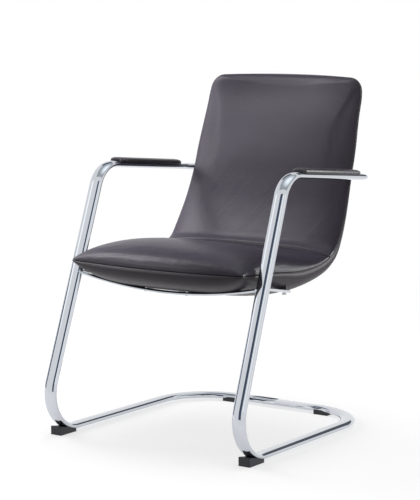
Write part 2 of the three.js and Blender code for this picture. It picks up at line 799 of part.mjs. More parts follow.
function makeRearFoot() {
  const saddleWidth = tubeWidth + 2 * rearFootLip;
  const saddle = block(rearFootLength, saddleWidth, rearFootHeight, rearFootHalfSpacing, baseDepth, 0);
  return cut(saddle, frameClearance, ...footScrewHoles(rearFootScrew));
}

function makeFootScrew(place) {
  const length = tubeUnderside(place) + tubeWall + screwTip - soleRecess - screwHeadHeight;
  const base = new THREE.Vector3(place.x, place.y, soleRecess);
  return fixing(screwDiameter, screwHeadDiameter, screwHeadHeight, length, base);
}

// The frame halves, with a hole for each fixing, and the sleeves inside their two joints
function makeFrameHalf() {
  const wallShape = flatOval(tubeWidth, tubeThickness);
  wallShape.holes.push(flatOval(tubeWidth - 2 * tubeWall, tubeThickness - 2 * tubeWall, THREE.Path));
  const footHoles = [frontFootScrew, rearFootScrew].map((place) => (
    roundBar(screwDiameter + 2 * holeClearance, tubeUnderside(place) + halfTube, place)));
  return cut(sweep(wallShape, framePath), boltHole(rightBolts('back')), ...padScrewHoles, ...padAccessHoles,
    ...footHoles);
}

function makeJointSleeve(y, z, slope) {
  const width = tubeWidth - 2 * tubeWall - 2 * seatGap;
  const thickness = tubeThickness - 2 * tubeWall - 2 * seatGap;
  const wallShape = flatOval(width, thickness);
  wallShape.holes.push(flatOval(width - 2 * jointSleeveWall, thickness - 2 * jointSleeveWall, THREE.Path));
  const half = jointSleeveLength / 2;
  const axis = new THREE.LineCurve3(new THREE.Vector3(-half, 0, 0), new THREE.Vector3(half, 0, 0));
  const sleeve = new THREE.ExtrudeGeometry(wallShape, { steps: 1, extrudePath: axis, bevelEnabled: false });
  sleeve.rotateX(slope);
  sleeve.translate(0, y, z);
  return sleeve;
}

// Every piece, in the order that the chair is put together
const rightFrame = makeFrameHalf();
const rightBlock = makeBlock();
const rightPad = makePad();
const rightPadPlate = cut(padPlate(0), ...padScrewHoles);
const rightFrontFoot = makeFrontFoot();
const rightRearFoot = makeRearFoot();
const rightBackSpacer = makeBackSpacer();
addPiece('base_joint_sleeve', makeJointSleeve(baseDepth, tubeCentreHeight, 0), 'steel');
const armSlope = -Math.atan2(armDrop, armDepth);
addPiece('arm_bar_joint_sleeve', makeJointSleeve(armBarY, armBarHeight, armSlope), 'steel');
addPiece('seat_front_crossbar', crossbar, 'chrome');
for (const [name, side] of Object.entries(sides)) {
  addPiece(`frame_tube_${name}`, sided(rightFrame, side), 'chrome');
  addPiece(`seat_rail_${name}`, sided(rightRail, side), 'chrome');
  addPiece(`seat_block_${name}`, sided(rightBlock, side), 'blackPlastic');
  addPiece(`back_spacer_${name}`, sided(rightBackSpacer, side), 'blackPlastic');
  addPiece(`arm_pad_plate_${name}`, sided(rightPadPlate, side), 'blackPlastic');
  addPiece(`arm_pad_${name}`, sided(rightPad, side), 'padLeather');
  for (const place of Object.keys(padScrewPlaces)) {
    addPiece(`arm_pad_screw_${place}_${name}`, sided(makePadScrew(place), side), 'steel');
  }
  addPiece(`front_foot_${name}`, sided(rightFrontFoot, side), 'blackPlastic');
  addPiece(`rear_foot_${name}`, sided(rightRearFoot, side), 'blackPlastic');
  addPiece(`front_foot_screw_${name}`, sided(makeFootScrew(frontFootScrew), side), 'steel');
  addPiece(`rear_foot_screw_${name}`, sided(makeFootScrew(rearFootScrew), side), 'steel');
}
addPiece('moulded_shell', shellWithPockets, 'mouldedShell');
addPiece('outer_cover', coverWithHoles, 'leather');
addPiece('seat_cushion', shellForms.seat_cushion, 'leather');
addPiece('back_cushion', shellForms.back_cushion, 'leather');
for (const [name, bolt] of Object.entries(seatBolts)) {
  addPiece(`seat_bolt_${name}`, makeBolt(bolt, boltSlack(name)), 'steel');
  addPiece(`shell_insert_${name}`, makeInsert(bolt), 'steel');
}

// The origin goes under the middle of the chair's box
const box = new THREE.Box3().setFromObject(part);
part.position.set(0, -(box.min.y + box.max.y) / 2, 0);
part.updateMatrixWorld(true);

export default part;
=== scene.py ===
# %% [markdown]
# # Sled base visitor chair
# The real chair is three things: one long flat oval tube, bent into a springy sled and chromed; a
# moulded shell in leather, with a fat seat cushion and a thin back cushion; and two small arm pads.
# The CAD model holds every real piece at its real place, and this lesson gives them their looks.
# Everything is in metres in the CAD model's own frame: the floor is z = 0 and the chair faces -Y.

import json
import math

import bmesh
import bpy
import numpy as np
from mathutils import Matrix, Vector
from mathutils.kdtree import KDTree

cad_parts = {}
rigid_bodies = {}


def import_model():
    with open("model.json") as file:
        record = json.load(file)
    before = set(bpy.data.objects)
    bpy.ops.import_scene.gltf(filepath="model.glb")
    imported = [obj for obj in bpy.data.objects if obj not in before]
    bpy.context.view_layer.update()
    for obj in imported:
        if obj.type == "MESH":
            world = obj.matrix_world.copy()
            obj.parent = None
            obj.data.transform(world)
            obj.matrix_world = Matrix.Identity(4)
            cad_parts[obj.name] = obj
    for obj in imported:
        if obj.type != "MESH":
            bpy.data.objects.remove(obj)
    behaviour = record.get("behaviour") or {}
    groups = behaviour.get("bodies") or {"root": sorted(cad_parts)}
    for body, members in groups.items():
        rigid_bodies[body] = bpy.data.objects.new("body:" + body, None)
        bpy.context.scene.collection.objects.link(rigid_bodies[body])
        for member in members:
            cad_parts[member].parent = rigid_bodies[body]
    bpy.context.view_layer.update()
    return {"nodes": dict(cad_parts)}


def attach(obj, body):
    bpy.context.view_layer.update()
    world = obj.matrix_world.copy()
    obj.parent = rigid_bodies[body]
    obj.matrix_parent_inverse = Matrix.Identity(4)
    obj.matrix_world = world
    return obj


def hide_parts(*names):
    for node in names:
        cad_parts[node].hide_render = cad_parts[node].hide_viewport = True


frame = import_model()
mm = 0.001

# %% [markdown]
# ## Shader sums as plain Python
# A material is a graph of nodes, and its sums read best as sums. `Value` wraps a socket, so that
# `1 - mask * 0.4` adds its own Math nodes, and `Finish.node` adds any other node by its type.

# %% A value that can be used in sums
class Value:
    """The output of a node. Each operator on it adds one Math node."""

    def __init__(self, finish, socket):
        self.finish = finish
        self.socket = socket

    def out(self, name):
        return Value(self.finish, self.socket.node.outputs[name])

    def sum(self, operation, *terms):
        places = {i: term for i, term in enumerate(terms)}
        return self.finish.node("ShaderNodeMath", {"operation": operation}, places)

    def __add__(self, other):
        return self.sum("ADD", self, other)

    def __sub__(self, other):
        return self.sum("SUBTRACT", self, other)

    def __rsub__(self, other):
        return self.sum("SUBTRACT", other, self)

    def __mul__(self, other):
        return self.sum("MULTIPLY", self, other)

    __radd__ = __add__
    __rmul__ = __mul__

    def largest(self, *others):
        value = self
        for other in others:
            value = self.sum("MAXIMUM", value, other)
        return value

    def between(self, low, high):
        """0 below low and 1 above high, with a soft step between them."""
        settings = {"interpolation_type": "SMOOTHSTEP"}
        return self.finish.node("ShaderNodeMapRange", settings,
                                {"Value": self, "From Min": low, "From Max": high})


# %% A material under construction
class Finish:
    """A material, or another owner of nodes, and the one method that adds a node to it."""

    def __init__(self, name, library=None):
        kept_in = bpy.data.materials if library is None else library
        self.owner = kept_in.new(name)
        self.owner.use_nodes = True
        self.tree = self.owner.node_tree
        self.tree.nodes.clear()

    def node(self, kind, settings=None, sockets=None):
        made = self.tree.nodes.new(kind)
        for name, value in (settings or {}).items():
            setattr(made, name, value)
        for name, value in (sockets or {}).items():
            by_name = [s for s in made.inputs if name in (s.identifier, s.name)]
            socket = made.inputs[name] if isinstance(name, int) else by_name[0]
            if isinstance(value, Value):
                self.tree.links.new(value.socket, socket)
            else:
                socket.default_value = value
        shown = [s for s in made.outputs if s.enabled]
        return Value(self, shown[0]) if shown else made

    def mix(self, share, first, second):
        """A colour between two colours."""
        sockets = {"Factor_Float": share, "A_Color": first, "B_Color": second}
        return self.node("ShaderNodeMix", {"data_type": "RGBA"}, sockets)

    def noise(self, place, scale, detail=2.0, roughness=0.5):
        sockets = {"Vector": place, "Scale": scale, "Detail": detail, "Roughness": roughness}
        return self.node("ShaderNodeTexNoise", None, sockets)

    def bump(self, height, distance, strength=1.0, below=None):
        sockets = {"Height": height, "Distance": distance, "Strength": strength}
        if below is not None:
            sockets["Normal"] = below
        return self.node("ShaderNodeBump", None, sockets)

    def place(self, stretch=(1, 1, 1)):
        """Object coordinates in metres, stretched where a pattern runs one way."""
        where = self.node("ShaderNodeTexCoord").out("Object")
        return self.node("ShaderNodeMapping", None, {"Vector": where, "Scale": stretch})

    def surface(self, **sockets):
        named = {name.replace("_", " "): value for name, value in sockets.items()}
        shader = self.node("ShaderNodeBsdfPrincipled", None, named)
        self.node("ShaderNodeOutputMaterial", None, {"Surface": shader})
        return self.owner


# %% [markdown]
# ## Leather
# The covers are smooth corrected leather, dark brown with a grey sheen. Close up it has shallow
# pores in cells about a millimetre wide, and over a hand's breadth its tone drifts a little. Low
# on the back, where it is pulled round the hollow, it lies in faint slanted folds.
# A photograph could be wrapped round the cushions, but it would need seams; noise in the object's
# own coordinates has none. Vertices of the cushions and the outer cover carry how near they are to
# the seams and the crease, and there the leather is painted darker, as painted shade where it turns
# in. The arm pads carry nothing and get no such painted shade.
# A full mirror level would wash so dark a leather out, so `mirror` is low and lamps of its own
# give it its sheen.

# %% Leather finishes
pores_per_metre, pebbles_per_metre, scuffs_per_metre, drifts_per_metre = 750, 420, 55, 9
fold_slant = -0.9                       # turn of the folds about Y, in radians
fold_size = (0.3, 0.3, 0.02)            # in metres: long, and about 20 mm apart
folds_start, folds_end = (0.44, 0.5), (0.56, 0.72)      # heights over which they come and go


def leather(name, dark, light, gloss, folded=0.0, mirror=0.25):
    finish = Finish(name)
    place = finish.place()
    pores = finish.node("ShaderNodeTexVoronoi", {"feature": "DISTANCE_TO_EDGE"},
                        {"Vector": place, "Scale": pores_per_metre})
    pebble = finish.noise(place, pebbles_per_metre, 3)
    drift = finish.noise(place, drifts_per_metre, 3)
    scuffs = finish.noise(finish.place((1, 1, 3)), scuffs_per_metre, 4, 0.6)
    seam = finish.node("ShaderNodeAttribute", {"attribute_name": "near_seam"}).out("Fac")
    tone = (drift * 0.7 + scuffs * 0.3).between(0.3, 0.7)
    colour = finish.mix(tone, dark, light)
    # Painted shade: the leather is darkened along the seams and the crease, where it turns in.
    seam_shaded = finish.mix(seam * 0.35, colour, tuple(c * 0.55 for c in dark[:3]) + (1,))
    valleys = 1 - pores.between(0, 0.16)
    shaded = finish.mix(valleys * 0.18, seam_shaded, tuple(c * 0.5 for c in dark[:3]) + (1,))
    rough = gloss + (scuffs - 0.5) * 0.12 + valleys * 0.08
    relief = finish.bump(scuffs, 0.6 * mm, 0.25)
    if folded:
        slanted = finish.node("ShaderNodeMapping", {"vector_type": "TEXTURE"},
                              {"Vector": place, "Rotation": (0, fold_slant, 0), "Scale": fold_size})
        folds = finish.noise(slanted, 1.0, 3, 0.55)
        height = finish.node("ShaderNodeSeparateXYZ", None, {"Vector": place}).out("Z")
        low_down = (1 - height.between(*folds_end)) * height.between(*folds_start)
        relief = finish.bump(folds * low_down, folded, 1.0, relief)
    grained = finish.bump(pebble * 0.5 - valleys, 0.06 * mm, 0.5, relief)
    return finish.surface(Base_Color=shaded, Roughness=rough, Normal=grained,
                          Specular_IOR_Level=mirror)


seat_leather = leather("seat leather", (0.029, 0.024, 0.035, 1), (0.036, 0.030, 0.045, 1), 0.33,
                       folded=0.7 * mm)
cover_leather = leather("cover leather", (0.036, 0.029, 0.037, 1), (0.045, 0.037, 0.047, 1), 0.42)
# The pad leather is painted lighter than the seat leather, as painted light for the pads' lit tops.
pad_leather = leather("pad leather", (0.036, 0.029, 0.037, 1), (0.050, 0.042, 0.052, 1), 0.34,
                      mirror=0.5)
leathers = (seat_leather, cover_leather, pad_leather)
print("leathers:", [m.name for m in leathers])

# %% [markdown]
# ## Chrome, zinc and black plastic
# Chrome is almost a mirror, so what it shows is the room. It still has life of its own: polishing
# leaves faint hairlines and a slight swell in the tube, which a little noise in roughness and bump
# gives. Zinc plate is duller and blotched, and the moulded feet have a fine spark-eroded grain.

# %% Hard finishes
def chrome_plate():
    finish = Finish("chrome plate")
    place = finish.place()
    swell = finish.noise(place, 26, 2)
    haze = finish.noise(place, 140, 4, 0.6)
    hairlines = finish.noise(finish.place((900, 900, 30)), 1, 2)
    rough = 0.035 + haze.between(0.45, 0.8) * 0.05 + hairlines.between(0.62, 0.8) * 0.05
    colour = finish.mix(haze, (0.62, 0.645, 0.69, 1), (0.57, 0.595, 0.64, 1))
    polished = finish.bump(swell, 0.4 * mm, 0.12)
    return finish.surface(Base_Color=colour, Metallic=1.0, Roughness=rough, Normal=polished)


def zinc_plate():
    finish = Finish("zinc plate")
    place = finish.place()
    blotches = finish.noise(place, 300, 4, 0.6)
    lines = finish.noise(finish.place((2000, 200, 2000)), 1, 2)
    colour = finish.mix(blotches.between(0.35, 0.65), (0.46, 0.47, 0.49, 1), (0.6, 0.61, 0.62, 1))
    brushed = finish.bump(lines, 0.03 * mm, 0.5)
    rough = 0.28 + blotches * 0.2
    return finish.surface(Base_Color=colour, Metallic=1.0, Roughness=rough, Normal=brushed)


def moulded_plastic(name, dark, light, gloss):
    finish = Finish(name)
    place = finish.place()
    grain = finish.noise(place, 1600, 3, 0.6)
    drift = finish.noise(place, 40, 3)
    colour = finish.mix(drift, dark, light)
    eroded = finish.bump(grain, 0.05 * mm, 0.6)
    return finish.surface(Base_Color=colour, Roughness=gloss + grain * 0.15, Normal=eroded)


def sewing_thread():
    finish = Finish("sewing thread")
    twist = finish.node("ShaderNodeTexWave", {"bands_direction": "DIAGONAL"},
                        {"Vector": finish.place(), "Scale": 900, "Distortion": 1})
    colour = finish.mix(twist, (0.018, 0.015, 0.017, 1), (0.05, 0.043, 0.048, 1))
    corded = finish.bump(twist, 0.1 * mm, 0.6)
    return finish.surface(Base_Color=colour, Roughness=0.7, Normal=corded)


chrome = chrome_plate()
zinc = zinc_plate()
thread = sewing_thread()
black_plastic = moulded_plastic("black plastic", (0.018, 0.019, 0.025, 1),
                                (0.028, 0.029, 0.037, 1), 0.42)
shell_plastic = moulded_plastic("shell plastic", (0.05, 0.05, 0.054, 1),
                                (0.07, 0.07, 0.074, 1), 0.5)

# %% [markdown]
# ## From a bmesh to a finished piece
# Each new piece takes the place of CAD nodes, which are hidden, and rides on the chair's root body.
# Its place is in its mesh.

# %% Add a piece to the chair
def mesh_object(name, bm, material):
    """Puts a bmesh into the scene as an object with one material."""
    mesh = bpy.data.meshes.new(name)
    bm.to_mesh(mesh)
    bm.free()
    mesh.materials.append(material)
    made = bpy.data.objects.new(name, mesh)
    bpy.context.scene.collection.objects.link(made)
    return made


def add_piece(name, bm, material, slot, *nodes):
    bmesh.ops.recalc_face_normals(bm, faces=bm.faces)
    piece = mesh_object(name, bm, material)
    for face in piece.data.polygons:
        face.use_smooth = True
    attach(piece, "root")
    if nodes:
        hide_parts(*nodes)
    print(f"{name}: {len(piece.data.polygons)} faces")
    return piece


# %% [markdown]
# ## The chromed tube
# The frame is bent from flat oval tube, 37 by 17 mm, on a machine that feeds it straight and then
# turns it round a former. A curve with a bevel would pinch at the tight bends, so the mesh is made
# as the machine makes the tube: one ring of the section is extruded along each straight run and
# spun about the former's middle at each bend.

# %% A bench that feeds and turns a section
class TubeBench:
    """Bends a flat oval section. The section starts at a point, heading along one direction."""

    def __init__(self, width, thickness, start, heading, across, around=40):
        self.bm = bmesh.new()
        self.heading = heading.normalized()
        self.point = start.copy()
        ring = bmesh.ops.create_circle(self.bm, segments=around, radius=0.5)["verts"]
        bmesh.ops.scale(self.bm, verts=ring, vec=(thickness, width, 1))
        across = (across - across.dot(self.heading) * self.heading).normalized()
        flat = across.cross(self.heading)
        turned = Matrix((flat, across, self.heading)).transposed().to_4x4()
        bmesh.ops.transform(self.bm, matrix=Matrix.Translation(start) @ turned, verts=ring)
        self.edges = list(self.bm.edges)
        self.first = list(self.bm.edges)

    def feed(self, length):
        made = bmesh.ops.extrude_edge_only(self.bm, edges=self.edges)["geom"]
        verts = [g for g in made if isinstance(g, bmesh.types.BMVert)]
        bmesh.ops.translate(self.bm, verts=verts, vec=self.heading * length)
        self.edges = [g for g in made if isinstance(g, bmesh.types.BMEdge)]
        self.point += self.heading * length

    def turn(self, heading, radius, steps):
        heading = heading.normalized()
        axis = self.heading.cross(heading).normalized()
        centre = self.point + axis.cross(self.heading) * radius
        angle = self.heading.angle(heading)
        made = bmesh.ops.spin(self.bm, geom=self.edges, cent=centre, axis=axis, dvec=(0, 0, 0),
                              angle=angle, steps=steps, use_merge=False, use_duplicate=False)
        last = made["geom_last"]
        self.edges = [g for g in last if isinstance(g, bmesh.types.BMEdge)]
        self.point = centre + Matrix.Rotation(angle, 3, axis) @ (self.point - centre)
        self.heading = heading
        middle = sum((v.co for v in {v for e in self.edges for v in e.verts}), Vector())
        return (middle / len({v for e in self.edges for v in e.verts}) - self.point).length

    def follow(self, corners, radii, steps=28):
        """Runs through corner points, with a bend at each inner one."""
        drift = 0
        for i in range(1, len(corners) - 1):
            leaving = (corners[i + 1] - corners[i]).normalized()
            reach = radii[i - 1] * math.tan(self.heading.angle(leaving) / 2)
            self.feed((corners[i] - self.point).length - reach)
            drift = max(drift, self.turn(leaving, radii[i - 1], steps))
        self.feed((corners[-1] - self.point).length)
        return drift

    def cap(self):
        for edges in (self.first, self.edges):
            bmesh.ops.edgeloop_fill(self.bm, edges=edges)
        return self.bm


# %% Bend the two halves of the frame
chair_shift = -374.2571                 # from the drawing's origin to the chair's middle, in mm
tube_width, tube_thickness = 37 * mm, 17 * mm
# Corners of the tube's centre line in mm: rear floor bar, runner, leg, arm and rear arm bar
tube_corners = [(0, 647, 12.5), (275.5, 647, 12.5), (279.5, 0, 12.5), (273, 241, 662),
                (273, 640, 626.5), (0, 640, 626.5)]
bend_radii = [radius * mm for radius in (150, 95, 70, 58)]


def chair_point(x, y, z):
    """A point of the drawing, in metres in the chair's frame."""
    return Vector((x, y + chair_shift, z)) * mm


def weighted(piece):
    """Keeps the wide flats flat in the shading, next to their narrow rounds."""
    shade = piece.modifiers.new("flats", "WEIGHTED_NORMAL")
    shade.keep_sharp = True
    return piece


for name, side in (("left", -1), ("right", 1)):
    corners = [chair_point(side * x, y, z) for x, y, z in tube_corners]
    outward, across = Vector((side, 0, 0)), Vector((0, 1, 0))
    bench = TubeBench(tube_width, tube_thickness, corners[0], outward, across)
    drift = bench.follow(corners, bend_radii)
    add_piece(f"sled_tube_{name}", bench.cap(), chrome, "chrome", f"frame_tube_{name}")
    print(f"bend check {name}: {drift / mm:.3f} mm off the drawing")

# %% [markdown]
# ## The crossbar
# A flat bar bowed down between the legs carries the front of the seat. Its bow is so shallow that
# one arc fits it, so it is a single turn on the same bench.

# %% Bow the crossbar
bar_width, bar_thickness, bar_sag = 16 * mm, 8 * mm, 30.785 * mm
bar_height = 403.5                      # where its line meets the leg's middle, in mm
bar_setback = 10 * mm                   # how far short of that it ends, at the leg's side
leg_foot, leg_top = (np.array(tube_corners[i]) for i in (2, 3))
leg_share = (bar_height - leg_foot[2]) / (leg_top[2] - leg_foot[2])
bar_end = chair_point(*(leg_foot + (leg_top - leg_foot) * leg_share))
bow_radius = (bar_end.x**2 + bar_sag**2) / (2 * bar_sag)
end_angle = math.asin((bar_end.x - bar_setback) / bow_radius)
bow_centre = Vector((0, bar_end.y, bar_end.z - bar_sag + bow_radius))


def bow_point(angle):
    return bow_centre + Vector((math.sin(angle), 0, -math.cos(angle))) * bow_radius


down, up = (Vector((math.cos(end_angle), 0, turn * math.sin(end_angle))) for turn in (-1, 1))
bench = TubeBench(bar_width, bar_thickness, bow_point(-end_angle), down, Vector((0, 1, 0)))
drift = bench.turn(up, bow_radius, 48)
weighted(add_piece("seat_crossbar", bench.cap(), chrome, "chrome", "seat_front_crossbar"))
print(f"crossbar: bow radius {bow_radius:.3f} m, {drift / mm:.3f} mm off the drawing")

# %% [markdown]
# ## Cut and moulded pieces
# Rails, blocks, feet and spacers already have their right shape in CAD, but with knife edges. A
# bevelled copy catches a thin line of light along each edge, as the real deburred or moulded ones
# do. The CAD mesh is loose triangles, so the copy is merged and its flat parts dissolved first.

# %% Bevel copies of the CAD pieces
merge_distance = 0.002 * mm
sharp_angle, shading_angle = math.radians(40), math.radians(35)


def merged_copy(node, flat_angle):
    """A CAD node's mesh in one skin, with the faces joined that meet at less than an angle."""
    bm = bmesh.new()
    bm.from_mesh(frame["nodes"][node].data)
    bmesh.ops.remove_doubles(bm, verts=bm.verts, dist=merge_distance)
    bmesh.ops.dissolve_limit(bm, angle_limit=math.radians(flat_angle), verts=bm.verts,
                             edges=bm.edges)
    return bm


def triangulate_large(bm):
    bmesh.ops.triangulate(bm, faces=[f for f in bm.faces if len(f.verts) > 4])


def softened(name, node, material, slot, width, segments=2):
    bm = merged_copy(node, flat_angle=2)
    sharp = [e for e in bm.edges if len(e.link_faces) == 2 and e.calc_face_angle() > sharp_angle]
    bmesh.ops.bevel(bm, geom=sharp, offset=width, offset_type="OFFSET", segments=segments,
                    profile=0.5, affect="EDGES", material=-1, clamp_overlap=True)
    triangulate_large(bm)
    piece = add_piece(name, bm, material, slot, node)
    piece.data.set_sharp_from_angle(angle=shading_angle)
    return weighted(piece)


for name in ("left", "right"):
    softened(f"steel_rail_{name}", f"seat_rail_{name}", chrome, "chrome", 0.8 * mm)
    softened(f"rail_block_{name}", f"seat_block_{name}", black_plastic, "black_plastic", 0.8 * mm)
    softened(f"bar_spacer_{name}", f"back_spacer_{name}", black_plastic, "black_plastic", 0.4 * mm)
    softened(f"wedge_foot_{name}", f"front_foot_{name}", black_plastic, "black_plastic", 1.2 * mm)
    softened(f"saddle_foot_{name}", f"rear_foot_{name}", black_plastic, "black_plastic", 1 * mm)

# %% [markdown]
# ## The sewn edge
# One line decides the whole seat: the sewn edge that runs back along the seat and up the back.
# The CAD model draws it as a smooth curve through a few points and gives every surface as a height
# over it. The same drawing is used here, so that leather, seams and stitches all meet.

# %% Follow the sewn edge
# Places along the chair and heights in mm, from the seat's front edge to the top of the back
edge_points = np.array([
    (0, 436), (133, 429.025), (235.6, 420.5), (326.8, 423.6), (380, 435.07),
    (412.926, 451.295), (436.964, 480.574), (472.516, 540.88), (497.968, 602.497),
    (528.874, 696.015), (548.064, 758.7245), (568.668, 821.434), (582, 873)])
seat_shift = -276.7304


def sewn_curve(points, steps=240):
    """Points along a smooth curve through the given ones, with evenly eased corners."""
    ends = [2 * points[0] - points[1], 2 * points[-1] - points[-2]]
    p = np.vstack([ends[0], points, ends[1]])
    out = []
    for i in range(1, len(p) - 2):
        a, b, c, d = p[i - 1:i + 3]
        before, here, after = (math.sqrt(math.dist(q, r)) for q, r in ((a, b), (b, c), (c, d)))
        leave = ((b - a) / before - (c - a) / (before + here) + (c - b) / here) * here
        arrive = ((c - b) / here - (d - b) / (here + after) + (d - c) / after) * here
        t = np.linspace(0, 1, steps, endpoint=False)[:, None]
        out.append((2 * t**3 - 3 * t**2 + 1) * b + (t**3 - 2 * t**2 + t) * leave
                   + (3 * t**2 - 2 * t**3) * c + (t**3 - t**2) * arrive)
    return np.vstack([*out, points[-1:]])


sewn = sewn_curve(edge_points)
run = np.concatenate([[0], np.cumsum(np.linalg.norm(np.diff(sewn, axis=0), axis=1))])
edge_length = run[-1]
print(f"sewn edge: {edge_length:.1f} mm along one side")

# %% Sizes across the seat and back
# Lengths are in mm. A stop is a place and a value; places run 0 to 1 along the seat, 1 to 2 above
seat_half_width = 251
crease = 0.444968                       # share of the sewn edge at which the seat meets the back
corner_radius = 34                      # of the back's top corners, seen from the front
bow_depth, bow_rise = 26, 4             # how far the front and top edges bow, and the top's rise
front_roll, belly_roll, top_roll = 150, 225, 22         # lengths over which each edge rounds off
roll_fullness = 2.5                     # 2 is a quarter round, and more is boxier
seam_half = 1.5                         # each surface starts this far off the sewn edge
crown_fullness = 0.42                   # a power: less makes the cushions' sides steeper
seat_flatness, back_flatness = 3, 7     # powers too: more keeps the top flat nearer to its sides
cover_thickness, cover_share = 4, 0.3   # the cover's thickness, and its share of a thin edge
shell_thickness, shell_share = 10, 0.4
fit_gap = 0.3
crown_stops = [(0, 57), (0.449, 57), (1, 18), (1.207, 17)]
belly_stops = [(0, 68), (0.449, 68), (0.944, 57), (1.351, 13)]
width_stops = [(0, 251), (1.099, 251), (1.55, 239.705), (1.874, 232.175), (2, 226)]
belly_round_stops = [(0, 0.5), (0.449, 0.45), (0.719, 0.32)]
flat_stops = [(1, seat_flatness), (1.279, back_flatness)]


def ease(share, stops):
    """A value that eases between stops."""
    value = np.full(np.shape(share), float(stops[0][1]))
    for (start, before), (end, after) in zip(stops, stops[1:]):
        t = np.clip((share - start) / (end - start), 0, 1)
        value = np.where(share > start, before + (after - before) * t * t * (3 - 2 * t), value)
    return value


def rounded(distance, length, fullness=2):
    """A quarter round from nothing at an edge to full size."""
    return (1 - np.clip(1 - distance / length, 0, 1) ** fullness) ** (1 / fullness)


def row(share):
    """Place, facing and half sizes of the rows at shares of the sewn edge's length."""
    along = share * edge_length
    centre = np.stack([np.interp(along, run, sewn[:, i]) for i in (0, 1)], -1)
    ahead = np.stack([np.interp(along + 1, run, sewn[:, i]) for i in (0, 1)], -1)
    behind = np.stack([np.interp(along - 1, run, sewn[:, i]) for i in (0, 1)], -1)
    tangent = ahead - behind
    tangent /= np.linalg.norm(tangent, axis=-1, keepdims=True)
    from_top = edge_length - along
    corner = np.clip(corner_radius - from_top, 0, corner_radius)
    narrowed = corner_radius - np.sqrt(corner_radius**2 - corner**2)
    place = np.where(share <= crease, share / crease, 1 + (share - crease) / (1 - crease))
    top = ease(place, [(1.4955, 0), (2, 1)])
    front = np.clip(1 - along / front_roll, 0, 1) ** 2
    roll = rounded(from_top, top_roll)
    return {
        "centre": centre, "normal": np.stack([-tangent[..., 1], tangent[..., 0]], -1),
        "half": ease(place, width_stops) - narrowed,
        "bow": np.stack([top * bow_depth - front * bow_depth, top * bow_rise], -1),
        "crown": ease(place, crown_stops) * roll * rounded(along, front_roll, roll_fullness),
        "belly": ease(place, belly_stops) * roll * rounded(along, belly_roll, roll_fullness),
        "flat": ease(place, flat_stops),
        "round": ease(place, belly_round_stops),
    }


def front_lift(across, r):
    """The height of the cushions' top, over the sewn edge's own surface."""
    return seam_half + r["crown"] * np.maximum(1 - np.abs(across) ** r["flat"], 0) ** crown_fullness


def outer_lift(across, r):
    """The depth of the outer cover, under that surface."""
    return -seam_half - r["belly"] * np.maximum(1 - across**4, 0) ** r["round"]


def under_lift(across, r):
    """The cushions' underside: on the moulded shell, or on the cover's rim outside it."""
    front, outer = front_lift(across, r), outer_lift(across, r)
    cover = outer + np.minimum(cover_thickness, cover_share * (front - outer))
    shell = cover + fit_gap + np.minimum(shell_thickness, shell_share * (front - cover))
    return fit_gap + shell


def on_row(across, r, lift):
    """Points in metres, across a row from -1 to 1 and lifted off the edge's own surface."""
    bend = (1 - across**2)[..., None]
    flat = r["centre"] + r["bow"] * bend + r["normal"] * lift[..., None]
    points = np.stack([across * r["half"], flat[..., 0] + seat_shift, flat[..., 1]], -1)
    return points * mm


# %% [markdown]
# ## Cushions
# Each cushion is a leather cover sewn to size and filled, so its top swells between the seams and
# pulls tight and slightly puckered along them. A sculpted shape would look stiff. Instead a grid
# is laid over the drawing's surface, closed underneath, and blown up a little with cloth
# simulation. The underside and seam are pinned, the leather is stiff and no point may move more
# than a millimetre or two, because a looser cover would fold where the real one is stretched.

# %% Lay a grid over the drawing's surface
def spread(count, bunching):
    """Places from 0 to 1 that bunch towards both ends, where leather turns over an edge."""
    t = np.linspace(0, 1, count + 1)
    return t - bunching * np.sin(2 * math.pi * t) / (2 * math.pi)


def draped_grid(bm, columns, rows, start, end, lift, bunching=0.86):
    """A grid of the given size over part of the surface; lift gives its height at each point."""
    made = bmesh.ops.create_grid(bm, x_segments=columns, y_segments=rows, size=0.5)["verts"]
    flat = np.array([v.co[:2] for v in made])
    across, share = (np.interp(flat[:, i] + 0.5, np.linspace(0, 1, n + 1), spread(n, bunching))
                     for i, n in ((0, columns), (1, rows)))
    across = 2 * across - 1
    share = start + (end - start) * share
    r = row(share)
    points = on_row(across, r, lift(across, r, share))
    for v, point in zip(made, points):
        v.co = point
    return made


def rim_of(bm, verts):
    inside = set(verts)
    return [e for e in bm.edges if e.is_boundary and e.verts[0] in inside and e.verts[1] in inside]


def closed_form(start, end, columns, rows, top):
    """A cushion's closed skin: its top, its underside and a narrow rim between them."""
    bm = bmesh.new()
    pinned = bm.verts.layers.float.new("pinned")
    upper = draped_grid(bm, columns, rows, start, end, top)
    lower = draped_grid(bm, columns, rows, start, end, lambda a, r, s: under_lift(a, r))
    for v in lower:
        v[pinned] = 1
    rims = rim_of(bm, upper) + rim_of(bm, lower)
    for e in rims:
        for v in e.verts:
            v[pinned] = 1
    bmesh.ops.bridge_loops(bm, edges=rims)
    return bm


# %% Blow a cushion up against its seams
swelling_frames = 20


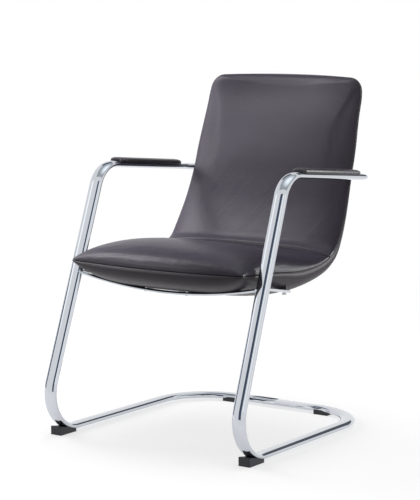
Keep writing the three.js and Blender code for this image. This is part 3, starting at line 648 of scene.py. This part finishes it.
def filled(piece, pressure, cap):
    """Runs the cloth simulation and applies it, with each point's movement held under a cap."""
    rest = np.array([v.co for v in piece.data.vertices])
    pins = piece.vertex_groups.new(name="pins")
    values = np.zeros(len(rest), np.float32)
    piece.data.attributes["pinned"].data.foreach_get("value", values)
    for i, value in enumerate(values):
        if value > 0:
            pins.add([i], float(value), "REPLACE")
    cloth = piece.modifiers.new("cloth", "CLOTH")
    cloth.settings.vertex_group_mass = "pins"
    cloth.settings.quality = 6
    cloth.settings.mass = 0.4
    cloth.settings.bending_stiffness = 30
    cloth.settings.use_pressure = True
    cloth.settings.uniform_pressure_force = pressure
    cloth.settings.effector_weights.gravity = 0
    scene = bpy.context.scene
    for step in range(swelling_frames):
        scene.frame_set(step + 1)
    blown = piece.evaluated_get(bpy.context.evaluated_depsgraph_get()).to_mesh()
    moved = np.array([v.co for v in blown.vertices]) - rest
    piece.modifiers.remove(cloth)
    scene.frame_set(1)
    length = np.maximum(np.linalg.norm(moved, axis=1, keepdims=True), 1e-9)
    moved *= cap * np.tanh(length / cap) / length
    piece.data.vertices.foreach_set("co", (rest + moved).astype(np.float32).ravel())
    piece.data.update()
    print(f"{piece.name}: swelled {length.max() / mm:.1f} mm at most, kept under {cap / mm:.1f} mm")
    return piece


def near_seam(piece, reach=12 * mm):
    """Marks how near each vertex is to the seams and the crease, for the leather's painted shade
    there.
    """
    co = np.array([v.co for v in piece.data.vertices])
    shares = np.linspace(0, 1, 200)
    r = row(shares)
    ones = np.ones_like(shares)
    rims = [on_row(side * ones, r, 0 * ones) for side in (-1, 1)]
    across = np.linspace(-1, 1, 80)
    for share in (0, crease, 1):
        one = row(np.full_like(across, share))
        rims.append(on_row(across, one, front_lift(across, one) * (share == crease)))
    lines = np.vstack(rims)
    tree = KDTree(len(lines))
    for i, point in enumerate(lines):
        tree.insert(point, i)
    tree.balance()
    gap = np.array([tree.find(point)[2] for point in co])
    value = np.clip(1 - gap / reach, 0, 1) ** 2
    attribute = piece.data.attributes.new("near_seam", "FLOAT", "POINT")
    attribute.data.foreach_set("value", value.astype(np.float32))
    return piece


def subdivided(piece):
    finer = piece.modifiers.new("finer", "SUBSURF")
    finer.levels = finer.render_levels = 1
    return piece


# %% The seat cushion and the back cushion
# Lengths are in mm, but the gap between the cushions is a share of the sewn edge on each side
rim_lift = 1.0
tuck_length, tuck_start = 14, 0.6
pucker_height, pucker_reach = 0.5, 16
filling_height, filling_top, filling_foot = 6, 120, 160
filling_softness = 0.25
crease_gap = 0.0006
columns, seat_rows, back_rows = 108, 84, 96


def tucked(share):
    """Rolls leather down into the crease over its last few millimetres."""
    return rounded(np.abs(share - crease) * edge_length + tuck_start, tuck_length)


def seat_top(across, r, share):
    """The seat's top puckers along the front seam, in waves of no even pitch."""
    pucker = np.exp(-share * edge_length / pucker_reach) * pucker_height
    waves = np.sin(across * 93 + 2 * np.sin(across * 17)) * np.sin(across * 41 + 1)
    return rim_lift + (front_lift(across, r) - seam_half + pucker * waves) * tucked(share)


def back_top(across, r, share):
    """The filling lies thickest along the middle, so the leather curves from edge to edge."""
    softer = {**r, "flat": seat_flatness + (r["flat"] - seat_flatness) * filling_softness}
    below_top = rounded((1 - share) * edge_length, filling_top)
    above_crease = rounded((share - crease) * edge_length, filling_foot)
    filling = filling_height * (1 - across**2) * below_top * above_crease
    return rim_lift + (front_lift(across, softer) - seam_half + filling) * tucked(share)


seat_form = closed_form(0, crease - crease_gap, columns, seat_rows, seat_top)
seat = add_piece("seat_leather_cushion", seat_form, seat_leather, "seat_leather", "seat_cushion")
back_form = closed_form(crease + crease_gap, 1, columns, back_rows, back_top)
back = add_piece("back_leather_cushion", back_form, seat_leather, "seat_leather", "back_cushion")
filled(seat, pressure=3, cap=2 * mm)
filled(back, pressure=3, cap=1 * mm)
for cushion, fill in ((seat, 0.85), (back, 0.9)):
    near_seam(cushion)
    subdivided(cushion)

# %% [markdown]
# ## The outer cover
# The shell's outer side wears one piece of leather from the front edge, under the seat and up the
# back. It is stretched over the moulding, so it stays smooth, and it meets the cushions at the
# sewn edge.

# %% Stretch the outer cover over the shell
cover_lift = 0.5                        # how far inside the drawing's surface it is laid, in mm
cover_leather_thickness = 1.4 * mm
bm = bmesh.new()
draped_grid(bm, 112, 150, 0, 1, lambda a, r, s: outer_lift(a, r) + cover_lift)
bmesh.ops.recalc_face_normals(bm, faces=bm.faces)
if sum(f.normal.z for f in bm.faces) > 0:
    bmesh.ops.reverse_faces(bm, faces=bm.faces)
bmesh.ops.solidify(bm, geom=bm.faces, thickness=cover_leather_thickness)
near_seam(add_piece("shell_leather_cover", bm, cover_leather, "cover_leather", "outer_cover"))

# %% [markdown]
# ## Stitches
# The outer cover and the cushions are joined by a row of short stitches up each side. Some 360 of
# them are needed, so each is a small lens of 24 faces, turned along the seam.

# %% Sew the edge
stitch_pitch, stitch_length, stitch_thickness = 5 * mm, 3.4 * mm, 0.9 * mm
stitch_inset = 1.2                      # from the sewn edge in towards the middle, in mm


def seam_lines(inset):
    """Two lines of points up the sides, on the outer cover just beside the sewn edge."""
    share = np.linspace(0.004, 0.996, 900)
    r = row(share)
    lines = []
    for side in (1, -1):
        across = np.full_like(share, side * (1 - inset / seat_half_width))
        lines.append(on_row(across, r, outer_lift(across, r) + cover_lift)[::side])
    return lines


def stitch_along(bm, line, pitch, length, thickness):
    steps = np.linalg.norm(np.diff(line, axis=0), axis=1)
    travelled = np.concatenate([[0], np.cumsum(steps)])
    count = int(travelled[-1] / pitch)

    def point_at(stitch):
        along = travelled[-1] * stitch / count
        return np.array([np.interp(along, travelled, line[:, axis]) for axis in range(3)])

    for i in range(count):
        middle, ahead = point_at(i + 0.5), point_at(i + 0.6)
        heading = Vector(ahead - middle).normalized()
        turned = heading.to_track_quat("X", "Z").to_matrix().to_4x4()
        sized = Matrix.Diagonal((length / 2, thickness / 2, thickness / 2, 1))
        bmesh.ops.create_uvsphere(bm, u_segments=6, v_segments=4, radius=1,
                                  matrix=Matrix.Translation(middle) @ turned @ sized)
    return count


bm = bmesh.new()
sewn_count = sum(stitch_along(bm, line, stitch_pitch, stitch_length, stitch_thickness)
                 for line in seam_lines(stitch_inset))
add_piece("edge_stitches", bm, thread, "cover_leather")
print("stitches:", sewn_count)

# %% [markdown]
# ## Arm pads
# Each pad is foam under thin leather, wrapped over a plate and pulled down round the tube. The CAD
# pad has the right form in fine facets, so a merged copy only has to be shaded smooth.

# %% Smooth the arm pads
pad_shading_angle = math.radians(50)
for name in ("left", "right"):
    bm = merged_copy(f"arm_pad_{name}", flat_angle=1)
    triangulate_large(bm)
    pad = add_piece(f"arm_rest_{name}", bm, pad_leather, "pad_leather", f"arm_pad_{name}")
    pad.data.set_sharp_from_angle(angle=pad_shading_angle)

# %% [markdown]
# ## Pieces that keep their CAD shape
# Bolts, screws, inserts, sleeves, pad plates and the hidden shell are right as they are and only
# need a finish.

# %% Finish what stays
stays = {"moulded_shell": shell_plastic, "arm_pad_plate": black_plastic}
for name, node in frame["nodes"].items():
    if node.hide_render:
        continue
    found = [finish for start, finish in stays.items() if name.startswith(start)]
    node.data.materials.clear()
    node.data.materials.append(found[0] if found else zinc)
print("kept CAD nodes:", sum(not n.hide_render for n in frame["nodes"].values()))

# %% [markdown]
# ## The studio
# A white floor that runs into a white background, as in a catalogue picture. The camera sees the
# floor and world at full white; lamps stay low enough that colours come out as written. Near the
# chair the floor glows less and takes the lamps' light, so that it keeps the chair's shadow.
# Chrome and leather need different rooms. Leather gets its sheen from boxes that light nothing
# else. Chrome shows its shape by what it mirrors, so dark and bright cards stand round the set,
# which show in reflections alone.

# %% Floor and background
white, navy = (1, 1, 1, 1), (0.08, 0.11, 0.16, 1)
floor_radius = 14
floor_glow = 0.61                       # next to the chair, with the lamps for the rest
floor_fade = (0.8, 3.2)                 # from lamps to glow, in metres from the middle
sky_light = 0.28                        # the world's strength for rays that don't show it


def distance_out(finish):
    """How far a point lies from the object's own middle."""
    place = finish.place()
    return finish.node("ShaderNodeVectorMath", {"operation": "LENGTH"}, {0: place}).out("Value")


def shown(finish):
    """1 for rays that show the set, straight or in a mirror or glass, and 0 for all others."""
    rays = finish.node("ShaderNodeLightPath")
    return rays.out("Is Camera Ray").largest(rays.out("Is Glossy Ray"),
                                             rays.out("Is Transmission Ray"))


def white_floor():
    finish = Finish("studio floor")
    away = distance_out(finish).between(*floor_fade)
    strength = shown(finish) * (floor_glow + away * (1 - floor_glow))
    glow = finish.node("ShaderNodeEmission", None, {"Strength": strength})
    grey = finish.mix(away, (0.5, 0.5, 0.5, 1), (0.02, 0.02, 0.02, 1))
    matt = finish.node("ShaderNodeBsdfDiffuse", None, {"Color": grey})
    both = finish.node("ShaderNodeAddShader", None, {0: glow, 1: matt})
    finish.node("ShaderNodeOutputMaterial", None, {"Surface": both})
    return finish.owner


bm = bmesh.new()
bmesh.ops.create_circle(bm, cap_ends=True, segments=96, radius=floor_radius)
studio_floor = mesh_object("studio_floor", bm, white_floor())

sky = Finish("studio world", bpy.data.worlds)
sky_strength = sky_light + shown(sky) * (1 - sky_light)
background = sky.node("ShaderNodeBackground", None, {"Color": white, "Strength": sky_strength})
sky.node("ShaderNodeOutputWorld", None, {"Surface": background})
bpy.context.scene.world = sky.owner
print("floor:", floor_radius, "m in radius; world:", sky.owner.name)

# %% Lamps and cards
edge_dimming = 0.65                     # how much of a fading card's strength goes by its edge


def aim(o, place, target=(0, 0, 0.45)):
    o.location = place
    o.rotation_euler = (Vector(target) - Vector(place)).to_track_quat("-Z", "Y").to_euler()


def soft_box(name, place, width, height, power):
    """A large lamp that lights the set and shows nowhere."""
    lamp = bpy.data.lights.new(name, "AREA")
    lamp.shape, lamp.size, lamp.size_y, lamp.energy = "RECTANGLE", width, height, power
    o = bpy.data.objects.new(name, lamp)
    bpy.context.scene.collection.objects.link(o)
    o.visible_camera = o.visible_glossy = False
    aim(o, place)
    return o


def leather_box(name, place, width, height, power, sheen=True):
    """A box for the leather alone, that gives it either sheen or plain light."""
    lamp = soft_box(name, place, width, height, power)
    lamp.visible_glossy, lamp.visible_diffuse = sheen, not sheen
    lamp.light_linking.receiver_collection = leather_pieces
    return lamp


def mirror_card(name, place, width, height, colour, strength, fading=None):
    """A card that shows in reflections alone. Fading dims it outwards between two distances."""
    finish = Finish(name)
    if fading:
        strength = strength * (1 - distance_out(finish).between(*fading) * edge_dimming)
    card = finish.node("ShaderNodeEmission", None, {"Color": colour, "Strength": strength})
    finish.node("ShaderNodeOutputMaterial", None, {"Surface": card})
    bm = bmesh.new()
    bmesh.ops.create_grid(bm, x_segments=1, y_segments=1, size=0.5)
    bmesh.ops.scale(bm, vec=(width, height, 1), verts=bm.verts)
    o = mesh_object(name, bm, finish.owner)
    for ray in ("camera", "diffuse", "shadow", "transmission", "volume_scatter"):
        setattr(o, f"visible_{ray}", False)
    aim(o, place)


# %% Place the lamps
leather_pieces = bpy.data.collections.new("leather pieces")
for o in bpy.context.scene.objects:
    if o.type == "MESH" and o.data.materials and o.data.materials[0] in leathers:
        leather_pieces.objects.link(o)

# Each has a name, a place, a width and a height in metres, and a power in watts
leather_box("sheen above", (-2.1, -0.8, 2.9), 1.2, 1.2, 40)
leather_box("sheen behind", (2.6, 2.4, 1.4), 0.8, 1.6, 110)
leather_box("near left sheen", (-1.35, -0.4, 1.1), 0.4, 1.2, 6)
near_left = leather_box("near left", (-1.3, -0.3, 1.1), 0.4, 1.2, 32, sheen=False)
near_left.data.color = (0.96, 0.93, 1.0)
leather_box("near seat", (-0.5, -0.95, 0.8), 0.5, 0.15, 2)
soft_box("left soft box", (-3.3, -0.1, 1.9), 1.6, 2.2, 65)
soft_box("right soft box", (3.3, 0.6, 1.3), 1.2, 2.6, 18)
soft_box("top soft box", (-0.2, 0.5, 3.4), 2.2, 2.2, 50)

# %% Place the cards
# Each has a name, a place, a width and a height in metres, a colour and a strength
slate, ice = (0.12, 0.13, 0.15, 1), (0.92, 0.97, 1.0, 1)
mirror_card("dark_card_front", (-0.08, -1.8, 0.85), 0.62, 2.0, navy, 1.0)
mirror_card("dark_card_behind", (0.1, 4.2, 2.9), 3.0, 2.9, slate, 1.0)
mirror_card("dark_card_high", (-1.8, 1.5, 2.7), 1.3, 0.8, navy, 1.0)
mirror_card("dark_strip_left", (-2.9, -1.05, 0.5), 0.85, 1.25, navy, 1.2)
mirror_card("dark_ceiling", (0.0, 0.0, 3.6), 5.0, 4.4, ice, 1.5, fading=(0.3, 2.0))
mirror_card("window_left", (-2.7, -1.75, 1.65), 0.7, 1.0, white, 1.5)
mirror_card("window_front", (0.85, -2.6, 1.6), 0.35, 1.6, white, 1.45)
mirror_card("window_right", (2.8, -1.9, 1.4), 0.5, 1.8, white, 1.5)

# %% [markdown]
# ## The camera
# The photograph was taken with a long lens from the chair's front, on the +X side, and from a
# little higher than its back. The place was solved from the tube's bends and the seat's edges.

# %% Place the camera
lens = bpy.data.cameras.new("studio camera")
lens.lens, lens.sensor_width = 132.97, 36
lens.clip_start, lens.clip_end = 0.1, 60
camera = bpy.data.objects.new("studio camera", lens)
bpy.context.scene.collection.objects.link(camera)
camera.location = (2.57430, -3.77810, 1.06130)
camera.rotation_euler = (math.radians(90 - 7.6237), 0, math.radians(34.594))
bpy.context.scene.camera = camera
bpy.context.scene.view_settings.view_transform = "Standard"
print("camera at", tuple(round(v, 3) for v in camera.location), "with a lens of", lens.lens, "mm")
